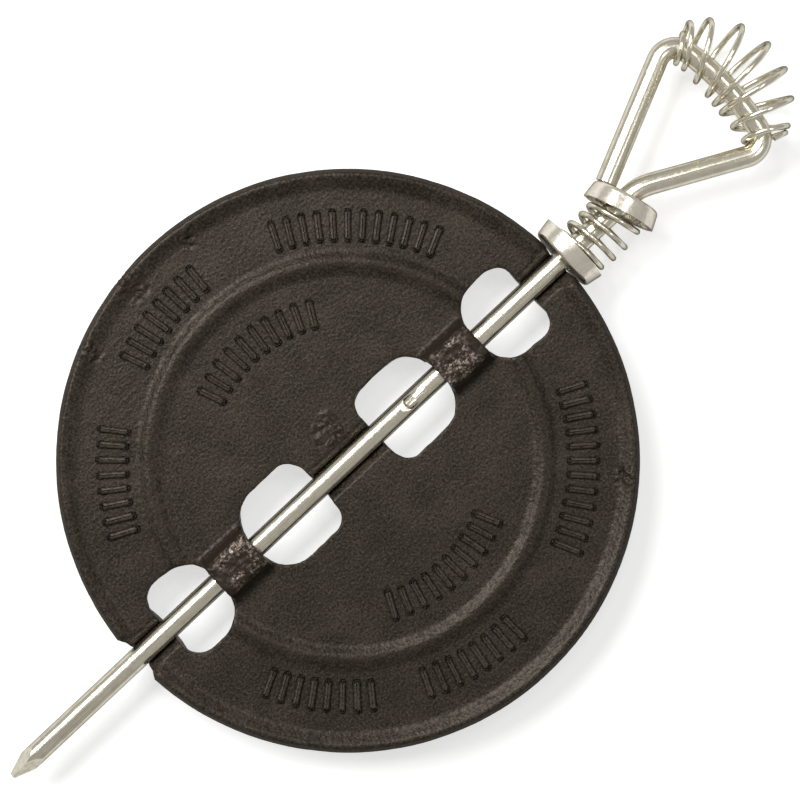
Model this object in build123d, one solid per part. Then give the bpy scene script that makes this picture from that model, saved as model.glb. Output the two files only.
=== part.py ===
"""Stovepipe damper for a round flue: a cast iron plate on a pointed wire rod with a looped handle.

Millimetres. X runs along the rod towards the handle, Y across the plate, Z out of the plate's front.
The origin is the plate's centre, which lies on the rod's axis.
"""

from build123d import *
from math import asin, atan2, cos, exp, pi, radians, sin, tan
import os

# Plate: driving sizes
plate_diameter = 146.0
web_thickness = 3.4
rim_width = 5.0
rim_height = 3.35
rim_edge_height = 1.3
rim_crest_width = 0.9
rim_crest_setback = 1.2
rim_crest_round = 0.7
rim_foot_round = 1.6
ring_radius = 49.5
ring_width = 6.0
ring_height = 1.15
ring_draft = 2.15
ring_round = 0.7
ring_foot_round = 1.2

# Windows along the rod line, each between a front saddle and a trough
centre_trough_length = 19.4
inner_window_length = 21.8
saddle_length = 12.8
rim_trough_length = 11.3
window_width = 21.8
window_square_radius = 4.8
window_round_radius = 8.4
window_straight_share = 0.05

# Bearings: half bores that hold the rod from the front and the back in turn
rod_clearance = 0.3
bearing_wall = 2.9
bearing_shoulder = 1.25
bearing_skirt = 5.15
bearing_crown_round = 2.6
bearing_root = 0.2
channel_draft_run = 1.75
tip_mouth_flare = 2.2
tip_mouth_setback = 1.5
handle_mouth_flare = 0.6
handle_mouth_setback = 0.5
mouth_round_share = 0.73
channel_overrun = 2.0

# Rod and handle, one wire
wire_diameter = 5.5
tip_overhang = 33.5
point_length = 8.7
point_end_size = 1.1
lug_to_saddle = 11.2
lug_width = 3.8
lug_height = 0.85
lug_root = 1.0
lug_length = 2.6
lug_shoulder_room = 0.03
lug_fade = 4.4
lug_end_sink = 0.05
lug_edge_round = 0.15
notch_length = 1.9
notch_depth = 0.5
bend_past_cup = 3.7
handle_bend_radius = 12.0
near_leg_angle = -27.4
far_leg_angle = 24.1
far_leg_overhang = 0.55
handle_depth = 33.25
bar_apex_y = 3.75
bar_bow_angle = 21.9
bar_bow_radius = 67.65
corner_inside_radius = 2.05
leg_end_gap = 0.25

# Cup washers, one stamping used twice, sized round the spring and the rod
cup_spring_gap = 0.1
cup_rod_gap = 0.75
cup_flare = 0.85
cup_depth = 4.7
cup_metal = 0.9
cup_inside_bend = 0.25
seat_gap = 0.1
cup_spacing = 23.0
handle_cup_tilt = 18.5
handle_cup_y = 0.35

# Compression spring between the cups
spring_diameter = 15.1
spring_wire = 1.5
spring_pitch = 3.7
spring_closed_pitch = 1.62
spring_bow = 1.5
spring_offset = 0.35
spring_seat_gap = 0.05
spring_closed_turns = 0.95
spring_opening_turn = 0.45
spring_first_turn = -0.29
spring_lean_start = 0.5
spring_lean_end = 0.96

# Grip coil round the handle's bar, its turns counted from the far corner
grip_wire = 1.45
grip_gap = 0.3
grip_slack = 1.35
grip_first_turn = -0.2
grip_last_turn = 8.2
grip_middle_turn = 4
grip_wrap_angle = 34.0
grip_fan_reach = 20.4
grip_fan_share = 0.531
grip_fan_setback = 5.6
grip_fan_drop = 0.35
grip_middle_angle = 2.1
grip_far_turn_angle = 22.8
grip_near_turn_angle = 21.4
grip_open_turns_far = 2.0
grip_open_turns_near = 2.9
grip_far_corner_angle = 14.0
grip_near_corner_angle = 5.0
grip_inner_drop = 1.5
grip_inner_turns = 6
grip_inner_room = 14.73
grip_crowding = 1.75
grip_crowded_turns = 1.5

# Points drawn for each turn of a coil, and how close counts as the same place
coil_steps = 12
touch = 0.01

# Worked out from the sizes above
plate_radius = plate_diameter / 2
half_web = web_thickness / 2
wire_radius = wire_diameter / 2
bore_radius = wire_radius + rod_clearance
bearing_height = bore_radius + bearing_wall
channel_mouth = bore_radius + channel_draft_run
trough_end = centre_trough_length / 2
saddle_start = trough_end + inner_window_length
saddle_end = saddle_start + saddle_length
rim_trough_start = plate_radius - rim_trough_length
rod_reach = plate_radius + tip_overhang
lug_face_x = saddle_start - lug_to_saddle
cup_hole_radius = wire_radius + cup_rod_gap
cup_floor_radius = spring_diameter / 2 + spring_offset + cup_spring_gap + cup_metal
cup_rim_radius = cup_floor_radius + cup_flare
cup_face_x = plate_radius + seat_gap
handle_cup_x = cup_face_x + cup_spacing
handle_bend_x = handle_cup_x + bend_past_cup
bar_apex_x = handle_bend_x + handle_depth
corner_radius = wire_radius + corner_inside_radius
grip_hug = wire_radius + grip_gap + grip_wire / 2
through = 2 * bearing_height


def on_xz(points):
    """Points given as (x, z), in the upright plane through the rod."""
    return [(x, 0, z) for x, z in points]


def plate_blank():
    """Web, rim bead and raised ring as one revolved section."""
    crest_out = plate_radius - rim_crest_setback
    crest_in = crest_out - rim_crest_width
    rim_foot = plate_radius - rim_width
    ring_in = ring_radius - ring_width / 2
    ring_out = ring_radius + ring_width / 2
    ring_top = half_web + ring_height
    front = [
        (0, half_web),
        (ring_in, half_web),
        (ring_in + ring_draft, ring_top),
        (ring_out - ring_draft, ring_top),
        (ring_out, half_web),
        (rim_foot, half_web),
        (crest_in, rim_height),
        (crest_out, rim_height),
        (plate_radius, rim_edge_height),
    ]
    back = [(x, -z) for x, z in front if x == 0 or x >= rim_foot]
    section = make_face(Polyline(*on_xz(front + back[::-1]), close=True))
    corners = section.vertices()
    crests = corners.filter_by(lambda v: abs(abs(v.Z) - rim_height) < touch)
    section = fillet(crests, rim_crest_round)
    ring_tops = section.vertices().filter_by(lambda v: abs(v.Z - ring_top) < touch)
    section = fillet(ring_tops, ring_round)
    rim_feet = section.vertices().filter_by(lambda v: abs(v.X - rim_foot) < touch)
    section = fillet(rim_feet, rim_foot_round)
    ring_edges = section.vertices().filter_by(lambda v: abs(v.Z - half_web) < touch)
    ring_feet = ring_edges.filter_by(lambda v: ring_in - touch < v.X < ring_out + touch)
    section = fillet(ring_feet, ring_foot_round)
    return revolve(section, axis=Axis.Z)


def window(trough_side, saddle_side):
    """A window from its trough to its saddle, squarer at the trough and rounder at the saddle."""
    middle = (trough_side + saddle_side) / 2
    length = abs(saddle_side - trough_side)
    room = (1 - window_straight_share) * length
    fit = min(1.0, room / (window_round_radius + window_square_radius))
    outline = Pos(middle, 0) * Rectangle(length, window_width)
    round_ends = outline.vertices().filter_by(lambda v: abs(v.X - saddle_side) < touch)
    outline = fillet(round_ends, window_round_radius * fit)
    square_ends = outline.vertices().filter_by(lambda v: abs(v.X - trough_side) < touch)
    outline = fillet(square_ends, window_square_radius * fit)
    return extrude(outline, through, both=True)


def bearing_body(start, end, side):
    """The drafted hump that carries a half bore, on the front (side 1) or the back (side -1)."""
    foot, top = bore_radius + bearing_skirt, bore_radius + bearing_shoulder
    low, high = bearing_root * side, bearing_height * side
    section = make_face(
        Polyline(
            (start, -foot, low),
            (start, -top, high),
            (start, top, high),
            (start, foot, low),
            close=True,
        )
    )
    crowns = section.vertices().filter_by(lambda v: abs(v.Z - high) < touch)
    section = fillet(crowns, bearing_crown_round)
    return extrude(section, end - start, dir=(1, 0, 0))


def bearing_channel(start, end, side):
    """The drafted slot that leaves the rod bare, opening to the front (side 1) or the back."""
    spread = channel_draft_run / half_web
    out = bearing_height
    slot = make_face(
        Polyline(
            (start, -bore_radius, 0),
            (start, -bore_radius - spread * out, out * side),
            (start, bore_radius + spread * out, out * side),
            (start, bore_radius, 0),
            close=True,
        )
    )
    bore = Plane(origin=(start, 0, 0), z_dir=(1, 0, 0)) * Circle(bore_radius)
    return extrude(slot, end - start, dir=(1, 0, 0)) + extrude(bore, end - start)


def trough_mouth(side, setback, flare):
    """Flared notch in the plate's edge where the rod leaves it."""
    inner = plate_radius - setback
    outer = plate_radius + channel_overrun
    half = channel_mouth
    wide = half + flare
    edge = plate_radius * cos(asin(wide / plate_radius))
    outline = Polyline(
        (inner, -half),
        (edge, -wide),
        (outer, -wide),
        (outer, wide),
        (edge, wide),
        (inner, half),
        close=True,
    )
    notch = make_face(outline)
    lips = notch.vertices().filter_by(lambda v: abs(v.X - edge) < touch)
    notch = extrude(fillet(lips, mouth_round_share * flare), through, both=True)
    return notch if side > 0 else mirror(notch, about=Plane.YZ)


def damper_plate():
    """The casting: a round plate with four windows, two front saddles and three back troughs."""
    cuts, spans = [], [(-trough_end, trough_end, -1)]
    tip = (-1, tip_mouth_setback, tip_mouth_flare)
    handle = (1, handle_mouth_setback, handle_mouth_flare)
    for side, setback, flare in (tip, handle):
        cuts.append(window(side * trough_end, side * saddle_start))
        cuts.append(window(side * rim_trough_start, side * saddle_end))
        cuts.append(trough_mouth(side, setback, flare))
        saddle = sorted((side * saddle_start, side * saddle_end))
        trough = sorted((side * rim_trough_start, side * (plate_radius - setback)))
        spans += [(*saddle, 1), (*trough, -1)]

    humps, bores = [], []
    for start, end, face in spans:
        humps.append(bearing_body(start, end, face))
        bores.append(bearing_channel(start - channel_overrun, end + channel_overrun, -face))
    plate = plate_blank() - cuts
    return plate + humps - bores


def line_meet(point_a, angle_a, point_b, angle_b):
    """Where two lines cross, each given by a point and its angle in degrees."""
    ax, ay = point_a
    bx, by = point_b
    ua, ub = radians(angle_a), radians(angle_b)
    cross = cos(ua) * sin(ub) - sin(ua) * cos(ub)
    along = ((bx - ax) * sin(ub) - (by - ay) * cos(ub)) / cross
    return (ax + along * cos(ua), ay + along * sin(ua))


def handle_corners():
    """Corners of the handle's outline: near corner, bowed middle, far corner and leg end."""
    lift = bar_bow_radius * (1 / cos(radians(bar_bow_angle / 2)) - 1)
    middle = (bar_apex_x + lift, bar_apex_y)
    near = line_meet((handle_bend_x, 0), near_leg_angle, middle, 90 - bar_bow_angle / 2)
    foot = (handle_cup_x, handle_cup_y + far_leg_seat())
    far = line_meet(foot, far_leg_angle, middle, 90 + bar_bow_angle / 2)
    return near, middle, far, foot


def bar_span():
    """Distance along Y between the handle's two outer corners."""
    near, middle, far, foot = handle_corners()
    return far[1] - near[1]


def far_leg_seat():
    """How far off the cup's centre the far leg meets the cup's closed face, along Y."""
    return cup_floor_radius - wire_radius + far_leg_overhang


def leg_trim():
    """How much of the far leg is cut off so that its square end just clears the tilted cup."""
    lean = radians(abs(far_leg_angle - handle_cup_tilt))
    tilt = radians(handle_cup_tilt)
    step_down = far_leg_seat() * sin(tilt) / cos(lean)
    return wire_radius * tan(lean) + leg_end_gap - step_down


def handle_path():
    """Centre line of the wire from the start of the point to the cut end."""
    near, middle, far, foot = handle_corners()
    angle = radians(far_leg_angle)
    end = (foot[0] + leg_trim() * cos(angle), foot[1] + leg_trim() * sin(angle))
    stops = [(-rod_reach, 0), (handle_bend_x, 0), near, middle, far, end]
    radii = [handle_bend_radius, corner_radius, bar_bow_radius, corner_radius]
    return FilletPolyline(*stops, radius=radii)


def struck_lug():
    """Burr behind the notch: a steep face, a shoulder low enough for the bore, then a long fade."""
    places = [0, lug_length, lug_length + lug_fade]
    heights = [lug_height, rod_clearance - lug_shoulder_room, -lug_end_sink]
    sections = []
    for place, height in zip(places, heights):
        middle = Plane((lug_face_x + place, 0, lug_root), x_dir=(0, 1, 0), z_dir=(1, 0, 0))
        sections.append(middle * Ellipse(lug_width / 2, wire_radius + height - lug_root))
    burr = loft(sections, ruled=True)
    return fillet(burr.faces().sort_by(Axis.X)[0].edges(), lug_edge_round)


def damper_rod():
    """Pointed rod and looped handle in one wire, with the lug that traps it in the plate."""
    path = handle_path()
    start = Plane(origin=(-rod_reach, 0, 0), z_dir=(1, 0, 0))
    wire = sweep(start * Circle(wire_radius), path=path)

    tip = Plane(origin=(-rod_reach - point_length, 0, 0), z_dir=(1, 0, 0))
    base_square = start * Rectangle(wire_diameter, wire_diameter, rotation=45)
    tip_square = tip * Rectangle(point_end_size, point_end_size, rotation=45)
    facets = loft([base_square, tip_square])
    blank = extrude(start * Circle(wire_radius), -point_length)
    point = facets & blank

    top = wire_radius
    notch_side = Polyline(
        *on_xz(
            [
                (lug_face_x - notch_length, top),
                (lug_face_x, top - notch_depth),
                (lug_face_x, top + notch_depth),
                (lug_face_x - notch_length, top + notch_depth),
            ]
        ),
        close=True,
    )
    notch = extrude(make_face(notch_side), wire_radius, both=True)
    return wire + point + struck_lug() - notch


def cup_washer():
    """A stamped cup with its closed face on the origin and its open rim towards +X."""
    hole, floor, rim = cup_hole_radius, cup_floor_radius, cup_rim_radius
    outside = FilletPolyline((0, hole), (0, floor), (cup_depth, rim), radius=cup_inside_bend + cup_metal)
    slope = atan2(rim - floor, cup_depth)
    inner_floor = floor - cup_metal / cos(slope) + cup_metal * tan(slope)
    inside = FilletPolyline(
        (cup_metal, hole),
        (cup_metal, inner_floor),
        (cup_depth, rim - cup_metal / cos(slope)),
        radius=cup_inside_bend,
    )
    ends = [Line(outside @ 1, inside @ 1), Line(outside @ 0, inside @ 0)]
    section = make_face(outside.edges() + inside.edges() + ShapeList(ends))
    return revolve(section, axis=Axis.X)


def pipe_washer():
    """The cup that stays against the pipe."""
    return Pos(cup_face_x, 0, 0) * cup_washer()


def handle_washer():
    """The same cup turned to face the spring, tilted by the handle's cut end."""
    facing = Location((handle_cup_x, handle_cup_y, 0), (0, 0, 180 + handle_cup_tilt))
    return facing * cup_washer()


def swept_wire(points, diameter):
    """A round wire along a smooth line through the points, with square cut ends."""
    path = Spline(*points)
    section = Plane(origin=path @ 0, z_dir=path % 0) * Circle(diameter / 2)
    return sweep(section, path=path, is_frenet=True)


def ease(value):
    """Smooth step from 0 to 1."""
    value = min(max(value, 0.0), 1.0)
    return value * value * (3 - 2 * value)


def compression_spring():
    """Closed-end coil from the pipe washer's floor to the tilted floor of the handle washer."""
    ring = (spring_diameter - spring_wire) / 2
    lift = cup_metal + spring_wire / 2 + spring_seat_gap
    tilt = radians(handle_cup_tilt)
    low = (cup_face_x + lift, -spring_offset)
    seat = (handle_cup_x - lift * cos(tilt), handle_cup_y - lift * sin(tilt))
    slide = -spring_offset - seat[1]
    high = (seat[0] - slide * tan(tilt), -spring_offset)

    rise = high[0] - low[0]
    extra = spring_pitch - spring_closed_pitch
    turns = (rise + extra * 2 * spring_closed_turns) / spring_pitch
    count = round(turns * coil_steps)
    weights = []
    for n in range(count):
        from_start = n / coil_steps - spring_opening_turn
        from_end = (count - n) / coil_steps - spring_opening_turn
        weights.append(ease(from_start) * ease(from_end))
    closed = spring_closed_pitch / coil_steps
    open_step = (rise - closed * count) / sum(weights)
    x, points = low[0], []
    for n in range(count + 1):
        share = (x - low[0]) / rise
        lean = tilt * ease((share - spring_lean_start) / (spring_lean_end - spring_lean_start))
        y = low[1] - spring_bow * sin(pi * share)
        turn = 2 * pi * (spring_first_turn + n / coil_steps)
        across = ring * cos(turn)
        points.append((x - across * sin(lean), y + across * cos(lean), ring * sin(turn)))
        if n < count:
            x += closed + open_step * weights[n]
    return swept_wire(points, spring_wire)


def bar_centre(y):
    """The bowed bar's centre line, as its X at a height y."""
    return bar_apex_x - (y - bar_apex_y) ** 2 / (2 * bar_bow_radius)


def in_plane(angle):
    """Unit vector in the handle's plane, at an angle in degrees from +X."""
    return Vector(cos(radians(angle)), sin(radians(angle)))


def far_bend_centre():
    """Centre of the round bend between the bar and the far leg."""
    far = Vector(*handle_corners()[2])
    half_opening = (90 + bar_bow_angle / 2 - far_leg_angle) / 2
    inwards = 180 + far_leg_angle + half_opening
    return far + in_plane(inwards) * (corner_radius / sin(radians(half_opening)))


def outer_tip(turn):
    """Where a turn stands furthest out, on a fan that closes up at both corners."""
    place = turn - grip_middle_turn
    beyond_far = min(max(-grip_open_turns_far - place, 0.0), 1.0)
    beyond_near = max(place - grip_open_turns_near, 0.0)
    spread = max(-grip_open_turns_far, place - beyond_near)
    turn_angle = grip_far_turn_angle if place < 0 else grip_near_turn_angle
    angle = grip_middle_angle - turn_angle * spread
    angle += grip_far_corner_angle * beyond_far - grip_near_corner_angle * beyond_near
    fan_centre = Vector(bar_apex_x - grip_fan_setback, bar_apex_y - grip_fan_drop)
    along, out = sin(radians(angle)), cos(radians(angle))
    fanned = fan_centre + Vector(out * grip_fan_reach, along * grip_fan_share * bar_span())
    tight = far_bend_centre() + in_plane(grip_wrap_angle) * (corner_radius + grip_hug)
    return tight + (fanned - tight) * ease(turn)


def inner_tip(turn):
    """Where a turn passes the bar's inner side: tight at the far bend, crowded in the middle."""
    first_fanned = 1.0 - grip_middle_turn
    place = max(turn - grip_middle_turn - 0.5, first_fanned)
    crowding = grip_crowding * place * exp(-((place / grip_crowded_turns) ** 2))
    step = (bar_span() - grip_inner_room) / grip_inner_turns
    y = bar_apex_y - grip_inner_drop - step * place + crowding
    slack = grip_slack * sin(pi * (place - first_fanned) / grip_last_turn)
    fanned = Vector(bar_centre(y) - grip_hug - slack, y)
    tight = far_bend_centre() + in_plane(grip_wrap_angle) * (corner_radius - grip_hug)
    return tight + (fanned - tight) * ease(turn - 0.5)


def grip_coil():
    """Coil whose turns fan out round the bar and close up tight at the far bend."""
    points = []
    for n in range(round((grip_last_turn - grip_first_turn) * coil_steps) + 1):
        turn = grip_first_turn + n / coil_steps
        outer, inner = outer_tip(turn), inner_tip(turn)
        angle = 2 * pi * turn
        across = (outer - inner) / 2
        rise = Vector(0, 0, across.length * sin(angle))
        points.append((outer + inner) / 2 + across * cos(angle) + rise)
    return swept_wire(points, grip_wire)


pieces = {
    "damper_plate": damper_plate,
    "damper_rod": damper_rod,
    "pipe_washer": pipe_washer,
    "handle_washer": handle_washer,
    "compression_spring": compression_spring,
    "grip_coil": grip_coil,
}

os.makedirs("parts", exist_ok=True)
for name, make in pieces.items():
    export_step(make(), f"parts/{name}.step")
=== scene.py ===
"""Stovepipe damper: finishes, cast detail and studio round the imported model, as an add-on.

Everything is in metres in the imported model's frame: X along the rod towards the handle, Y across
the plate, Z out of the plate's front, with the origin at the plate's centre on the rod's axis.
"""

import math
from random import Random

import bpy
from bpy.props import FloatProperty, FloatVectorProperty, IntProperty, PointerProperty
from mathutils import Matrix, Vector, noise


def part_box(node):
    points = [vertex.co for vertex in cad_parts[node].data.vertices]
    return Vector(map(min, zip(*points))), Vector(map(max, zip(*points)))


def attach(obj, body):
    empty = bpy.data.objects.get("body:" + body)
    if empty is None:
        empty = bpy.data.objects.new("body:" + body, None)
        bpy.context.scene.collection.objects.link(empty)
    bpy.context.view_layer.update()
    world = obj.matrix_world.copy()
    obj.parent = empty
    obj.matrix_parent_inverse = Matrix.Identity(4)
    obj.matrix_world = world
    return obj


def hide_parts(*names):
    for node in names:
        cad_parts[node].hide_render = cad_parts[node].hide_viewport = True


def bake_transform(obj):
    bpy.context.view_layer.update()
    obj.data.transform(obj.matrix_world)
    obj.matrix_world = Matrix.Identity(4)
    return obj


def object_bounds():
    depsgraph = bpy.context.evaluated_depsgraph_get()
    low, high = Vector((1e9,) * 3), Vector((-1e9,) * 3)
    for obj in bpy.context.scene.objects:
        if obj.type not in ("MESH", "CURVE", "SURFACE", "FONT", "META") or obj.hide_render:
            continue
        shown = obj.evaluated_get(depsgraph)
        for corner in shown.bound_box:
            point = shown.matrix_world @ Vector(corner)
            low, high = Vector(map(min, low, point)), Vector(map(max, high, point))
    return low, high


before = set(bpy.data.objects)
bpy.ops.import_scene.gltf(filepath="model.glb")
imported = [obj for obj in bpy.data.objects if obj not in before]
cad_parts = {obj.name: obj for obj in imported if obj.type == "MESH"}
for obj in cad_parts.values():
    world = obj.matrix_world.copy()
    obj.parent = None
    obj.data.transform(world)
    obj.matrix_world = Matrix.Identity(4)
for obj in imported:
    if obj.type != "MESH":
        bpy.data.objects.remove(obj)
cad_low, cad_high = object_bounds()

bl_info = {
    "name": "Stovepipe damper",
    "version": (1, 0, 0),
    "blender": (4, 5, 0),
    "location": "3D View > Sidebar > Damper",
    "description": "Finishes a packed stovepipe damper and sets up its studio",
    "category": "Object",
}

# Ribs stand in groups on the front, each group given by its middle angle and its number of ribs
OUTER_RIB_GROUPS = ((45, 12), (99, 8), (142, 8), (-45, 12), (-101, 8), (-140, 8))
INNER_RIB_GROUPS = ((86, 10), (-91, 10))
# Crusty spots on the front, each given by its place across the plate and its size
ROUGH_SPOTS = (
    (0.0083, 0.0675, 0.0028),
    (-0.0097, 0.0690, 0.0048),
    (-0.0285, 0.0641, 0.0034),
    (0.0020, 0.0087, 0.0055),
    (0.0475, -0.0500, 0.0030),
)
# How fine each grain of the sand casting is, in features to the metre
BLOTCHES, FINE_LUMPS, GRAIN, SPECKLE = 95, 330, 1150, 1750
# Distances from the plate's centre: where its edge turns rusty, where it turns dull, and where the
# saddles' colour ends
RUSTY_EDGE = (0.0712, 0.0727)
DULL_EDGE = (0.0714, 0.0722)
SADDLE_REACH = (0.058, 0.054)
# The middle of a saddle along the rod, and how far from it the wear fades out
SADDLE_MIDDLE = 0.0362
WEAR_REACH = (0.0066, 0.0042)
# Half the widths and the length between which the windows' edges lie beside the rod
WINDOW_EDGES = (0.0045, 0.0135, 0.0615)
# Height over which the lumps on a saddle's top rise to their full depth
SADDLE_TOP_RISE = 0.0010
# What the main lamp and the camera look at, and what the small lamps look at
PLATE_SIDE, HANDLE_SIDE = (0.02, 0, 0), (0.115, 0, 0)
# Lamps: turn about the view and lean away from it in degrees, width and length, and aim
LAMPS = {
    "main_light": (97, 38, (0.40, 0.74), PLATE_SIDE),
    "side_light": (-66, 33, (0.24, 0.18), HANDLE_SIDE),
    "top_light": (63, 13, (0.22, 0.18), HANDLE_SIDE),
    "ceiling_light": (-5, 24, (0.16, 0.26), HANDLE_SIDE),
}
LAMP_DISTANCE = 0.9
FLOOR_SIZE = 6
FLOOR_GAP = 0.0002
SENSOR_WIDTH = 36
VIEW_MIDDLE = (0.01986, 0.00212)
# Share of the floor's glow that a gloss and a glass see
GLOW_IN_METAL = 0.3


def length(default, name, description, smallest=0.0):
    """A size in metres that a user may change."""
    return FloatProperty(
        name=name,
        description=description,
        default=default,
        min=smallest,
        precision=5,
        subtype="DISTANCE",
        unit="LENGTH",
    )


def colour(default, name, description):
    """A colour that a user may change."""
    return FloatVectorProperty(
        name=name, description=description, default=default, size=3, min=0, max=1, subtype="COLOR"
    )


def share(default, name, description):
    """A plain number from nought to one."""
    return FloatProperty(
        name=name, description=description, default=default, min=0, max=1, subtype="FACTOR"
    )


def power(default, name, description):
    """The power of a lamp that a user may change."""
    return FloatProperty(
        name=name, description=description, default=default, min=0, unit="POWER"
    )


class CastingSettings(bpy.types.PropertyGroup):
    """Sizes and colours of the cast iron plate."""

    paint: colour((0.0215, 0.0168, 0.0124), "Paint", "Colour of the black paint on the casting")
    # The sooty paint is partly painted shade: it darkens the grain's pits and the ribs' feet, and
    # it also gives random dark specks
    sooty_paint_and_shade: colour((0.0055, 0.0042, 0.0028), "Sooty paint", "Dark paint in pits and hollows")
    # The dusty paint is also a painted highlight on the ribs' crests
    dusty_paint_and_highlight: colour((0.072, 0.058, 0.044), "Dusty paint", "Paler paint on raised edges")
    sheen: colour((1.0, 0.89, 0.76), "Sheen", "Tint of the paint's gloss")
    saddle_paint: colour((0.0190, 0.0128, 0.0085), "Saddle paint", "Brown-black on the saddles")
    bare_iron: colour((0.29, 0.235, 0.20), "Bare iron", "Worn metal that glints on the saddles")
    crust: colour((0.022, 0.0135, 0.0105), "Crust", "Rough brown crust in a few spots")
    rust: colour((0.022, 0.015, 0.009), "Rust", "Brown tinge on the plate's outer edge")
    gloss: share(0.36, "Roughness", "How rough the paint looks between its grains")
    rib_height: length(0.00085, "Rib height", "How far the cast ribs stand off the web")
    rib_width: length(0.0023, "Rib width", "Width of one cast rib")
    rib_sink: length(0.00035, "Rib sink", "How deep a rib's foot lies in the web")
    outer_rib_length: length(0.0086, "Outer rib length", "Length of the ribs in the outer band")
    inner_rib_length: length(0.0084, "Inner rib length", "Length of the ribs inside the ring")
    outer_rib_radius: length(0.0588, "Outer rib radius", "Where the outer ribs are centred")
    inner_rib_radius: length(0.0376, "Inner rib radius", "Where the inner ribs are centred")
    rib_pitch: length(0.0037, "Rib pitch", "Distance from one rib to the next", 0.001)
    web_top: length(0.0017, "Web top", "Height of the web's front face above the rod's axis")
    saddle_height: length(0.0044, "Saddle height", "Height above which the saddles are worn")
    fine_step: length(0.00042, "Fine step", "Size of the cells the casting is rebuilt in", 0.0003)
    unevenness: length(0.00022, "Unevenness", "Depth of the broad waves left by the sand")
    lumps: length(0.00007, "Lumps", "Depth of the small lumps left by the sand")
    saddle_lumps: length(0.00075, "Saddle lumps", "Depth of the lumps on the saddles' tops")
    window_waves: length(0.0009, "Window waves", "How uneven the windows' edges are")
    crust_depth: length(0.0024, "Crust depth", "Depth of the crusty spots")
    most_triangles: IntProperty(
        name="Most triangles", description="Faces kept after thinning", default=180000, min=20000
    )


class WireSettings(bpy.types.PropertyGroup):
    """Colours of the plated wire, cups and springs."""

    bright: colour((0.84, 0.80, 0.675), "Bright zinc", "Clean plating")
    dull: colour((0.49, 0.455, 0.36), "Dull zinc", "Plating that has gone dull")
    cup: colour((0.97, 0.915, 0.81), "Cup steel", "Plating on the two cup washers")
    edge_tint: colour((0.30, 0.285, 0.25), "Edge tint", "Plating seen at a slant")
    roughness: share(0.22, "Roughness", "How rough the plating is")
    spring_foot: length(0.074, "Spring foot", "Where the spring starts to close up")
    spring_head: length(0.094, "Spring head", "Where the spring goes along with the handle washer")


class StageSettings(bpy.types.PropertyGroup):
    """The floor, the light and the camera."""

    floor: colour((0.76, 0.76, 0.75), "Floor", "Colour of the pale floor")
    floor_glow: share(0.63, "Floor glow", "White that the floor adds where it is looked at")
    surroundings: colour((0.10, 0.099, 0.097), "Surroundings", "Light that comes from all round")
    walls: colour((0.42, 0.41, 0.39), "Walls", "Pale walls as the metal mirrors them")
    camera_height: length(0.62, "Camera height", "Camera above the plate", 0.1)
    view_width: length(0.2002, "View width", "What the picture takes in at the rod's height", 0.01)
    camera_turn: FloatProperty(
        name="Camera turn",
        description="How far the picture is turned from the rod",
        default=math.radians(-43.24),
        subtype="ANGLE",
        unit="ROTATION",
    )
    main_light: power(7.0, "Main light", "Power of the big soft box")
    side_light: power(0.55, "Side light", "Power of the small soft box")
    top_light: power(0.6, "Top light", "Power of the lamp overhead")
    ceiling_light: power(0.4, "Ceiling light", "Power of the faint panel")


# Small tools


def deselect_all():
    """Leaves object mode with nothing selected."""
    if bpy.context.object and bpy.context.object.mode != "OBJECT":
        bpy.ops.object.mode_set(mode="OBJECT")
    bpy.ops.object.select_all(action="DESELECT")


def make_active(piece):
    """Selects one piece and nothing else."""
    deselect_all()
    piece.select_set(True)
    bpy.context.view_layer.objects.active = piece


def edit_with(piece, mode):
    """Opens a piece in edit mode with nothing selected."""
    make_active(piece)
    bpy.ops.object.mode_set(mode="EDIT")
    bpy.ops.mesh.select_mode(type=mode)
    bpy.ops.mesh.select_all(action="DESELECT")


def pick(piece, kind, wanted):
    """Selects the vertices, edges or polygons that the test is true of."""
    bpy.ops.object.mode_set(mode="OBJECT")
    for item in getattr(piece.data, kind):
        item.select = wanted(item)
    bpy.ops.object.mode_set(mode="EDIT")


def apply_all(piece):
    """Applies every modifier in order."""
    make_active(piece)
    for modifier in list(piece.modifiers):
        bpy.ops.object.modifier_apply(modifier=modifier.name)


def merged_copy(node_name, piece_name):
    """A copy of a CAD node's mesh with its loose triangles joined up."""
    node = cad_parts[node_name]
    mesh = node.data.copy()
    piece = bpy.data.objects.new(piece_name, mesh)
    bpy.context.scene.collection.objects.link(piece)
    mesh.name = piece_name
    edit_with(piece, "VERT")
    bpy.ops.mesh.customdata_custom_splitnormals_clear()
    bpy.ops.mesh.select_all(action="SELECT")
    bpy.ops.mesh.remove_doubles(threshold=2e-6)
    bpy.ops.object.mode_set(mode="OBJECT")
    return piece


def paint_with(piece, material):
    """Gives a piece one material."""
    if not piece.material_slots:
        piece.data.materials.append(material)
    for slot in piece.material_slots:
        slot.material = material


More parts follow.
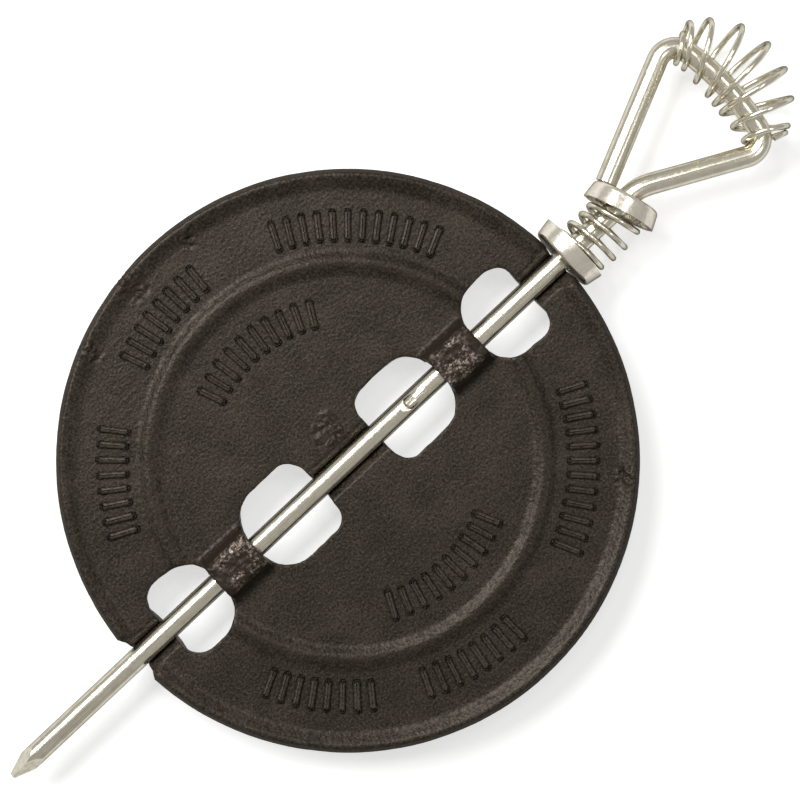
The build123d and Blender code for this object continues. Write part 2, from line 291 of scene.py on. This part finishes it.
class Finish:
    """One procedural material, built node by node on Object coordinates."""

    def __init__(self, name):
        self.material = bpy.data.materials.new(name)
        self.material.use_nodes = True
        self.tree = self.material.node_tree
        self.tree.nodes.clear()
        self.output = self.add("ShaderNodeOutputMaterial")
        self.shader = self.add("ShaderNodeBsdfPrincipled")
        self.tree.links.new(self.shader.outputs["BSDF"], self.output.inputs["Surface"])
        self.place = self.add("ShaderNodeTexCoord").outputs["Object"]

    def add(self, kind, **settings):
        """Adds a node and sets its own settings."""
        node = self.tree.nodes.new(kind)
        for key, value in settings.items():
            setattr(node, key, value)
        return node

    def put(self, value, socket):
        """Links an output to a socket, or sets the socket to a plain value."""
        if isinstance(value, bpy.types.NodeSocket):
            self.tree.links.new(value, socket)
        else:
            socket.default_value = value

    def noise(self, scale, detail=3.0, roughness=0.55, stretch=None):
        """Soft noise with so many features to the metre, stretched along an axis if asked."""
        where = self.place
        if stretch:
            mapping = self.add("ShaderNodeMapping")
            mapping.inputs["Scale"].default_value = stretch
            self.put(where, mapping.inputs["Vector"])
            where = mapping.outputs["Vector"]
        node = self.add("ShaderNodeTexNoise")
        self.put(where, node.inputs["Vector"])
        self.put(scale, node.inputs["Scale"])
        self.put(detail, node.inputs["Detail"])
        self.put(roughness, node.inputs["Roughness"])
        return node.outputs["Fac"]

    def between(self, value, low, high, to_low=0.0, to_high=1.0):
        """Maps a range smoothly onto another and holds it at its ends."""
        node = self.add("ShaderNodeMapRange", interpolation_type="SMOOTHSTEP")
        self.put(value, node.inputs["Value"])
        ends = {"From Min": low, "From Max": high, "To Min": to_low, "To Max": to_high}
        for key, number in ends.items():
            self.put(number, node.inputs[key])
        return node.outputs["Result"]

    def sum_of(self, operation, first, second):
        """One step of arithmetic."""
        node = self.add("ShaderNodeMath", operation=operation)
        self.put(first, node.inputs[0])
        self.put(second, node.inputs[1])
        return node.outputs["Value"]

    def times(self, first, second):
        """One value times another."""
        return self.sum_of("MULTIPLY", first, second)

    def size_of(self, value):
        """A value without its sign."""
        return self.sum_of("ABSOLUTE", value, 0)

    def blend(self, amount, first, second):
        """Mixes two colours."""
        node = self.add("ShaderNodeMix", data_type="RGBA")
        self.put(amount, node.inputs["Factor"])
        for value, socket in ((first, node.inputs[6]), (second, node.inputs[7])):
            self.put(value if isinstance(value, bpy.types.NodeSocket) else (*value, 1), socket)
        return node.outputs[2]

    def bump(self, height, distance, strength, below=None):
        """Turns a height into a normal, on top of another bump if there is one."""
        node = self.add("ShaderNodeBump")
        self.put(height, node.inputs["Height"])
        self.put(distance, node.inputs["Distance"])
        self.put(strength, node.inputs["Strength"])
        if below:
            self.put(below, node.inputs["Normal"])
        return node.outputs["Normal"]

    def set(self, **values):
        """Sets or links the shader's sockets, named with underscores for spaces."""
        for key, value in values.items():
            socket = self.shader.inputs[key.replace("_", " ")]
            if socket.type == "RGBA" and not isinstance(value, bpy.types.NodeSocket):
                value = (*value, 1)
            self.put(value, socket)


# Finishes


def painted_iron(name, settings, rib_highlight_and_shade):
    """Black painted sand casting: grainy, dusty on its edges, bare and glinting on the saddles."""
    f = Finish(name)
    blotches = f.noise(BLOTCHES, 4)
    speckle = f.noise(SPECKLE, 2, 0.6)
    grain = f.noise(GRAIN, 1.2, 0.5)
    lumps = f.noise(FINE_LUMPS, 3)

    # Height above the rod's axis, and distance from the plate's centre
    apart = f.add("ShaderNodeSeparateXYZ")
    f.put(f.place, apart.inputs["Vector"])
    height = apart.outputs["Z"]
    flat = f.add("ShaderNodeCombineXYZ")
    f.put(apart.outputs["X"], flat.inputs["X"])
    f.put(apart.outputs["Y"], flat.inputs["Y"])
    out = f.add("ShaderNodeVectorMath", operation="LENGTH")
    f.put(flat.outputs["Vector"], out.inputs[0])
    radius = out.outputs["Value"]

    # Paint, dusty in blotches, specks and on raised edges, darker in other random specks, and with
    # painted shade in the pits of the grain
    edges = f.add("ShaderNodeNewGeometry").outputs["Pointiness"]
    raised = f.between(edges, 0.515, 0.60)
    paint = f.blend(f.between(blotches, 0.35, 0.70, 0, 0.40), settings.paint, settings.dusty_paint_and_highlight)
    paint = f.blend(f.between(speckle, 0.48, 0.70, 0, 0.80), paint, settings.dusty_paint_and_highlight)
    paint = f.blend(f.times(raised, 0.20), paint, settings.dusty_paint_and_highlight)
    # Painted shade: the grain noise that makes the bump darkens its hollows
    paint = f.blend(f.between(grain, 0.44, 0.32, 0, 0.55), paint, settings.sooty_paint_and_shade)
    # Dark random specks of paint
    paint = f.blend(f.between(speckle, 0.50, 0.35, 0, 0.90), paint, settings.sooty_paint_and_shade)

    # Crusty spots
    rough_spots = 0.0
    for x, y, size in ROUGH_SPOTS:
        away = f.add("ShaderNodeVectorMath", operation="DISTANCE")
        f.put(flat.outputs["Vector"], away.inputs[0])
        f.put((x, y, 0), away.inputs[1])
        one_spot = f.between(away.outputs["Value"], size, 0.4 * size)
        rough_spots = f.sum_of("MAXIMUM", one_spot, rough_spots)
    crust = f.times(rough_spots, f.between(lumps, 0.42, 0.56))
    paint = f.blend(f.times(crust, 0.75), paint, settings.crust)

    # Painted highlight on the ribs' crests and painted shade at their feet
    if rib_highlight_and_shade:
        # Painted highlight: paler paint on the ribs' crests, broken up by the grain
        crest = f.between(height, settings.web_top + 0.00062, settings.web_top + 0.00080)
        crest = f.times(crest, f.between(grain, 0.38, 0.60, 0.15, 0.85))
        paint = f.blend(crest, paint, settings.dusty_paint_and_highlight)
        # Painted shade: darker paint low on the ribs' sides, where shade falls at their feet
        foot = f.between(height, settings.web_top + 0.00008, settings.web_top + 0.00045, 0.6, 0)
        paint = f.blend(foot, paint, settings.sooty_paint_and_shade)

    # Rust on the plate's edge
    rusty = f.times(f.between(radius, *RUSTY_EDGE), f.between(f.noise(150, 4), 0.30, 0.52))
    paint = f.blend(f.times(rusty, 0.9), paint, settings.rust)

    # Saddles, browner than the rest and chipped to bare iron on their tops
    saddle = f.times(
        f.between(height, settings.web_top + 0.0006, settings.web_top + 0.0020),
        f.between(radius, *SADDLE_REACH),
    )
    paint = f.blend(f.times(saddle, 0.85), paint, settings.saddle_paint)
    top = f.between(height, settings.saddle_height + 0.0002, settings.saddle_height + 0.0010)
    patch = f.between(f.noise(260, 2, 0.5), 0.41, 0.53)
    chips = f.between(f.noise(1250, 3, 0.7), 0.47, 0.62)
    worn = f.times(f.times(top, patch), chips)
    along = f.sum_of("SUBTRACT", f.size_of(apart.outputs["X"]), SADDLE_MIDDLE)
    worn = f.times(worn, f.between(f.size_of(along), *WEAR_REACH))
    paint = f.blend(worn, paint, settings.bare_iron)

    normal = f.bump(lumps, 0.0007, 0.22)
    normal = f.bump(grain, 0.0004, 0.38, normal)
    rough = f.between(grain, 0.3, 0.7, settings.gloss + 0.10, settings.gloss - 0.04)
    rough = f.sum_of("MAXIMUM", rough, f.between(radius, *DULL_EDGE, 0, 0.62))
    f.set(
        Base_Color=paint,
        Metallic=f.times(worn, 0.6),
        Roughness=rough,
        Specular_IOR_Level=0.27,
        Specular_Tint=settings.sheen,
        Normal=normal,
    )
    return f.material


def plated_wire(name, settings, roughness, drawn):
    """Bright zinc on wire, with fine lines along the rod where it was drawn through the die."""
    f = Finish(name)
    patches = f.between(f.noise(420, 5, 0.7), 0.42, 0.72)
    tone = f.blend(f.times(patches, 0.55), settings.bright, settings.dull)
    cloud = f.noise(900, 2, 0.5)
    normal = f.bump(cloud, 0.0001, 0.12)
    if drawn:
        along = f.add("ShaderNodeSeparateXYZ")
        f.put(f.place, along.inputs["Vector"])
        straight = f.between(along.outputs["X"], 0.086, 0.080)
        lines = f.noise(1.0, 3, 0.6, stretch=(40, 3200, 3200))
        lines = f.times(lines, straight)
        normal = f.bump(lines, 0.00006, 0.30, normal)
        tone = f.blend(f.between(lines, 0.48, 0.66, 0, 0.60), tone, settings.dull)
    f.set(
        Base_Color=tone,
        Metallic=1.0,
        Specular_Tint=settings.edge_tint,
        Roughness=f.between(patches, 0.0, 1.0, roughness - 0.03, roughness + 0.10),
        Normal=normal,
    )
    return f.material


def plated_cup(settings):
    """Bright zinc on the pressed cups, a little wavy from the press."""
    f = Finish("plated_cup_steel")
    waves = f.noise(320, 2)
    patches = f.between(f.noise(500, 4, 0.7), 0.45, 0.75)
    tone = f.blend(f.times(patches, 0.4), settings.cup, settings.dull)
    normal = f.bump(waves, 0.0004, 0.30)
    normal = f.bump(f.noise(2600, 3), 0.00005, 0.30, normal)
    f.set(
        Base_Color=tone,
        Metallic=1.0,
        Specular_Tint=settings.edge_tint,
        Roughness=f.between(patches, 0.0, 1.0, 0.24, 0.36),
        Normal=normal,
    )
    return f.material


# Pieces


def one_rib(settings, length_of_rib):
    """A round-ended rib with sloping sides and a rounded crest, lying along X in the web."""
    tall = settings.rib_height + settings.rib_sink
    middle = settings.web_top + settings.rib_height - tall / 2
    bpy.ops.mesh.primitive_cube_add(
        size=1, location=(0, 0, middle), scale=(length_of_rib, settings.rib_width, tall)
    )
    rib = bpy.context.object
    bpy.ops.object.transform_apply(location=True, rotation=True, scale=True)
    edit_with(rib, "EDGE")
    places = rib.data.vertices

    def stands_up(edge):
        a, b = (places[i].co for i in edge.vertices)
        return abs(a.z - b.z) > 0.5 * tall

    pick(rib, "edges", stands_up)
    bpy.ops.mesh.bevel(offset=settings.rib_width * 0.46, segments=4, affect="EDGES")
    bpy.ops.mesh.select_mode(type="FACE")
    pick(rib, "polygons", lambda face: face.normal.z > 0.9)
    bpy.ops.transform.resize(value=(0.96, 0.84, 1))
    bpy.ops.mesh.bevel(offset=settings.rib_width * 0.34, segments=3, affect="EDGES")
    bpy.ops.object.mode_set(mode="OBJECT")
    return rib


def rib_group(rib, settings, radius, middle, count, chance):
    """Copies of a rib standing side by side along an arc, pointing at the plate's centre."""
    copies = []
    step = settings.rib_pitch / radius
    for n in range(count):
        angle = math.radians(middle) + (n - (count - 1) / 2) * step
        copy = bpy.data.objects.new("rib", rib.data.copy())
        bpy.context.scene.collection.objects.link(copy)
        uneven = Matrix.Diagonal((chance.uniform(0.96, 1.03), chance.uniform(0.92, 1.06), 1, 1))
        place = Matrix.Translation((radius, 0, chance.uniform(-0.00008, 0.00005)))
        copy.data.transform(Matrix.Rotation(angle, 4, "Z") @ place @ uneven)
        copies.append(copy)
    return copies


def sand_texture(name, size, depth):
    """Cloudy noise of one grain size, for displacement."""
    texture = bpy.data.textures.new(name, "CLOUDS")
    texture.noise_scale = size
    texture.noise_depth = depth
    return texture


def displace(piece, name, size, depth, strength, group=""):
    """Adds a displacement along the surface's own normals."""
    modifier = piece.modifiers.new(name, "DISPLACE")
    modifier.texture = sand_texture(name, size, depth)
    modifier.texture_coords = "LOCAL"
    modifier.strength = strength
    modifier.mid_level = 0.5
    modifier.vertex_group = group


def cast_ribs(settings):
    """Groups of plain raised ribs, which stand where the casting is marked."""
    ribs = []
    chance = Random(6)
    for radius, groups, rib_length in (
        (settings.outer_rib_radius, OUTER_RIB_GROUPS, settings.outer_rib_length),
        (settings.inner_rib_radius, INNER_RIB_GROUPS, settings.inner_rib_length),
    ):
        deselect_all()
        rib = one_rib(settings, rib_length)
        for middle, count in groups:
            ribs += rib_group(rib, settings, radius, middle, count, chance)
        bpy.data.objects.remove(rib)
    make_active(ribs[0])
    for rib in ribs:
        rib.select_set(True)
    bpy.ops.object.join()
    joined = bpy.context.object
    joined.name = "cast_ribs"
    bpy.ops.object.shade_smooth()
    return joined


def group_places(plate, settings):
    """Vertex groups for the saddles' tops, the crusty spots and the windows' edges."""
    tops = plate.vertex_groups.new(name="saddle_tops")
    spots = plate.vertex_groups.new(name="rough_spots")
    edges = plate.vertex_groups.new(name="window_edges")
    inner, outer, reach = WINDOW_EDGES
    for vertex in plate.data.vertices:
        rise = (vertex.co.z - settings.saddle_height) / SADDLE_TOP_RISE
        if rise > 0:
            tops.add([vertex.index], min(rise, 1.0), "REPLACE")
        crusty = max(
            1.0 - math.hypot(vertex.co.x - x, vertex.co.y - y) / size for x, y, size in ROUGH_SPOTS
        )
        crusty = max(crusty, -1.0) + 0.55 * noise.noise(vertex.co * 420)
        if crusty > 0.05 and vertex.co.z > 0:
            spots.add([vertex.index], min(1.6 * crusty, 1.0), "REPLACE")
        beside_rod = inner < abs(vertex.co.y) < outer and abs(vertex.co.x) < reach
        if beside_rod and vertex.co.z < settings.saddle_height:
            edges.add([vertex.index], 1.0 - abs(vertex.normal.z), "REPLACE")


def cast_plate(settings):
    """The plate as cast: the CAD plate's shape with softened edges and a sandy surface."""
    plate = merged_copy("damper_plate", "cast_plate")
    rebuild = plate.modifiers.new("rebuild", "REMESH")
    rebuild.mode = "VOXEL"
    rebuild.voxel_size = settings.fine_step
    rebuild.use_smooth_shade = True
    soften = plate.modifiers.new("soften", "SMOOTH")
    soften.factor = 0.5
    soften.iterations = 3
    apply_all(plate)

    group_places(plate, settings)
    displace(plate, "broad_waves", 0.011, 1, settings.unevenness)
    displace(plate, "window_waves", 0.0055, 1, settings.window_waves, "window_edges")
    displace(plate, "crust", 0.0012, 2, settings.crust_depth, "rough_spots")
    displace(plate, "sand_lumps", 0.0026, 2, settings.lumps)
    displace(plate, "saddle_lumps", 0.0011, 2, settings.saddle_lumps, "saddle_tops")
    apply_all(plate)
    triangles = sum(len(face.vertices) - 2 for face in plate.data.polygons)
    if triangles > settings.most_triangles:
        thin = plate.modifiers.new("thin", "DECIMATE")
        thin.ratio = settings.most_triangles / triangles
        apply_all(plate)
    fit_inside(plate, "damper_plate")
    make_active(plate)
    bpy.ops.object.shade_smooth()
    return plate


def fit_inside(piece, node_name):
    """Draws in what stands outside the round edge of the CAD node."""
    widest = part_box(node_name)[1].y
    for vertex in piece.data.vertices:
        off_axis = math.hypot(vertex.co.x, vertex.co.y)
        if off_axis > widest:
            vertex.co.x *= widest / off_axis
            vertex.co.y *= widest / off_axis


class DAMPER_OT_cast_plate(bpy.types.Operator):
    """Make the cast iron plate with its sandy surface"""

    bl_idname = "damper.cast_plate"
    bl_label = "Cast plate"

    def execute(self, context):
        settings = context.scene.damper_casting
        plate = cast_plate(settings)
        plate.data.materials.clear()
        paint_with(plate, painted_iron("painted_cast_iron", settings, False))
        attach(plate, "plate")
        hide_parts("damper_plate")
        return {"FINISHED"}


class DAMPER_OT_ribs(bpy.types.Operator):
    """Make the groups of raised ribs on the plate's front"""

    bl_idname = "damper.ribs"
    bl_label = "Cast ribs"

    def execute(self, context):
        settings = context.scene.damper_casting
        ribs = cast_ribs(settings)
        # The ribs also get a painted highlight on their crests and painted shade at their feet
        paint_with(ribs, painted_iron("painted_cast_ribs", settings, True))
        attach(ribs, "plate")
        return {"FINISHED"}


class DAMPER_OT_rod(bpy.types.Operator):
    """Finish the rod and its handle in bright zinc"""

    bl_idname = "damper.rod"
    bl_label = "Rod and handle"

    def execute(self, context):
        settings = context.scene.damper_wire
        finish = plated_wire("plated_rod", settings, settings.roughness, True)
        paint_with(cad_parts["damper_rod"], finish)
        return {"FINISHED"}


class DAMPER_OT_cups(bpy.types.Operator):
    """Finish the two cup washers in polished zinc"""

    bl_idname = "damper.cups"
    bl_label = "Cup washers"

    def execute(self, context):
        finish = plated_cup(context.scene.damper_wire)
        for name in ("pipe_washer", "handle_washer"):
            paint_with(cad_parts[name], finish)
        return {"FINISHED"}


class DAMPER_OT_springs(bpy.types.Operator):
    """Finish the compression spring and the grip coil"""

    bl_idname = "damper.springs"
    bl_label = "Spring and grip coil"

    def execute(self, context):
        settings = context.scene.damper_wire
        finish = plated_wire("plated_spring_wire", settings, settings.roughness - 0.03, False)
        paint_with(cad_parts["grip_coil"], finish)
        spring = merged_copy("compression_spring", "closing_spring")
        make_active(spring)
        bpy.ops.object.shade_smooth_by_angle(angle=math.radians(40))
        paint_with(spring, finish)
        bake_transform(spring)
        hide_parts("compression_spring")
        return {"FINISHED"}


# Stage


def stage_shader(material_or_world, output_kind):
    """An empty node tree with its output, for the floor or the world."""
    material_or_world.use_nodes = True
    tree = material_or_world.node_tree
    tree.nodes.clear()
    return tree, tree.nodes.new(output_kind)


def seen_directly(tree):
    """One where the camera looks, less for a gloss or a glass, nought where light bounces."""
    path = tree.nodes.new("ShaderNodeLightPath")
    value = path.outputs["Is Camera Ray"]
    for name in ("Is Glossy Ray", "Is Transmission Ray"):
        part = tree.nodes.new("ShaderNodeMath")
        part.operation = "MULTIPLY_ADD"
        part.inputs[1].default_value = GLOW_IN_METAL
        tree.links.new(path.outputs[name], part.inputs[0])
        tree.links.new(value, part.inputs[2])
        value = part.outputs["Value"]
    return value


def floor_paper(settings):
    """Pale paper that keeps the shadow and looks white where it is fully lit."""
    paper = bpy.data.materials.new("floor_paper")
    tree, output = stage_shader(paper, "ShaderNodeOutputMaterial")
    matt = tree.nodes.new("ShaderNodeBsdfDiffuse")
    matt.inputs["Color"].default_value = (*settings.floor, 1)
    glow = tree.nodes.new("ShaderNodeEmission")
    tree.links.new(seen_directly(tree), glow.inputs["Strength"])
    glow.inputs["Color"].default_value = (*[settings.floor_glow] * 3, 1)
    both = tree.nodes.new("ShaderNodeAddShader")
    tree.links.new(matt.outputs["BSDF"], both.inputs[0])
    tree.links.new(glow.outputs["Emission"], both.inputs[1])
    tree.links.new(both.outputs["Shader"], output.inputs["Surface"])
    return paper


def soft_box(name, energy, turn, lean, size, aim):
    """A round soft light, placed by its turn about the view and its lean away from it."""
    light = bpy.data.lights.new(name, "AREA")
    light.shape = "ELLIPSE"
    light.size, light.size_y = size
    light.energy = energy
    lamp = bpy.data.objects.new(name, light)
    bpy.context.scene.collection.objects.link(lamp)
    away = Vector(
        (
            math.sin(lean) * math.cos(turn),
            math.sin(lean) * math.sin(turn),
            math.cos(lean),
        )
    )
    lamp.location = Vector(aim) + away * LAMP_DISTANCE
    lamp.rotation_euler = away.to_track_quat("Z", "X").to_euler()


def studio_world(settings):
    """White where the camera or a glass looks, pale walls in the metal, and faint light."""
    world = bpy.data.worlds.new("studio")
    tree, output = stage_shader(world, "ShaderNodeOutputWorld")
    path = tree.nodes.new("ShaderNodeLightPath")
    seen = None
    for colour_seen, ray in (
        (settings.surroundings, None),
        (settings.walls, "Is Glossy Ray"),
        ((1, 1, 1), "Is Camera Ray"),
        ((1, 1, 1), "Is Transmission Ray"),
    ):
        glow = tree.nodes.new("ShaderNodeBackground")
        glow.inputs["Color"].default_value = (*colour_seen, 1)
        shown = glow.outputs["Background"]
        if seen:
            either = tree.nodes.new("ShaderNodeMixShader")
            tree.links.new(path.outputs[ray], either.inputs["Fac"])
            tree.links.new(seen, either.inputs[1])
            tree.links.new(shown, either.inputs[2])
            shown = either.outputs["Shader"]
        seen = shown
    tree.links.new(seen, output.inputs["Surface"])
    return world


def overhead_camera(settings):
    """A camera that looks straight down on the plate, turned as in the photograph."""
    camera = bpy.data.cameras.new("camera")
    camera.sensor_width = SENSOR_WIDTH
    camera.lens = camera.sensor_width * settings.camera_height / settings.view_width
    camera.clip_start = 0.01
    eye = bpy.data.objects.new("camera", camera)
    bpy.context.scene.collection.objects.link(eye)
    eye.location = (*VIEW_MIDDLE, settings.camera_height)
    eye.rotation_euler = (0, 0, settings.camera_turn)
    return eye


class DAMPER_OT_stage(bpy.types.Operator):
    """Set up the floor, the soft studio light and the camera"""

    bl_idname = "damper.stage"
    bl_label = "Stage"

    def execute(self, context):
        settings = context.scene.damper_stage
        deselect_all()
        bpy.ops.mesh.primitive_plane_add(size=FLOOR_SIZE, location=(0, 0, cad_low.z - FLOOR_GAP))
        floor = context.object
        floor.name = "floor"
        bpy.ops.object.transform_apply(location=True, rotation=True, scale=True)
        paint_with(floor, floor_paper(settings))

        context.scene.world = studio_world(settings)
        for name, (turn, lean, size, aim) in LAMPS.items():
            energy = getattr(settings, name)
            soft_box(name, energy, math.radians(turn), math.radians(lean), size, aim)
        context.scene.camera = overhead_camera(settings)
        context.scene.view_settings.view_transform = "Standard"
        return {"FINISHED"}


class DAMPER_PT_panel(bpy.types.Panel):
    """Lists the damper's pieces, their settings and the stage"""

    bl_label = "Stovepipe damper"
    bl_idname = "DAMPER_PT_panel"
    bl_space_type = "VIEW_3D"
    bl_region_type = "UI"
    bl_category = "Damper"

    def draw(self, context):
        for title, group, operators in SECTIONS:
            box = self.layout.box()
            box.label(text=title)
            settings = getattr(context.scene, group)
            for key in settings.bl_rna.properties.keys():
                if key not in ("rna_type", "name"):
                    box.prop(settings, key)
            for operator in operators:
                box.operator(operator.bl_idname)


SECTIONS = (
    ("Casting", "damper_casting", (DAMPER_OT_cast_plate, DAMPER_OT_ribs)),
    ("Wire and cups", "damper_wire", (DAMPER_OT_rod, DAMPER_OT_cups, DAMPER_OT_springs)),
    ("Stage", "damper_stage", (DAMPER_OT_stage,)),
)
GROUPS = {
    "damper_casting": CastingSettings,
    "damper_wire": WireSettings,
    "damper_stage": StageSettings,
}
OPERATORS = (
    DAMPER_OT_cast_plate,
    DAMPER_OT_ribs,
    DAMPER_OT_rod,
    DAMPER_OT_cups,
    DAMPER_OT_springs,
    DAMPER_OT_stage,
)
CLASSES = (*GROUPS.values(), *OPERATORS, DAMPER_PT_panel)


def register():
    """Registers the classes and hangs the settings on the scene."""
    for one in CLASSES:
        bpy.utils.register_class(one)
    for name, group in GROUPS.items():
        setattr(bpy.types.Scene, name, PointerProperty(type=group))


def unregister():
    """Takes the settings off the scene and unregisters the classes."""
    for name in GROUPS:
        delattr(bpy.types.Scene, name)
    for one in reversed(CLASSES):
        bpy.utils.unregister_class(one)


def main():
    """Makes every piece and the stage."""
    register()
    bpy.ops.damper.cast_plate()
    bpy.ops.damper.ribs()
    bpy.ops.damper.rod()
    bpy.ops.damper.cups()
    bpy.ops.damper.springs()
    bpy.ops.damper.stage()


if __name__ == "__main__":
    main()
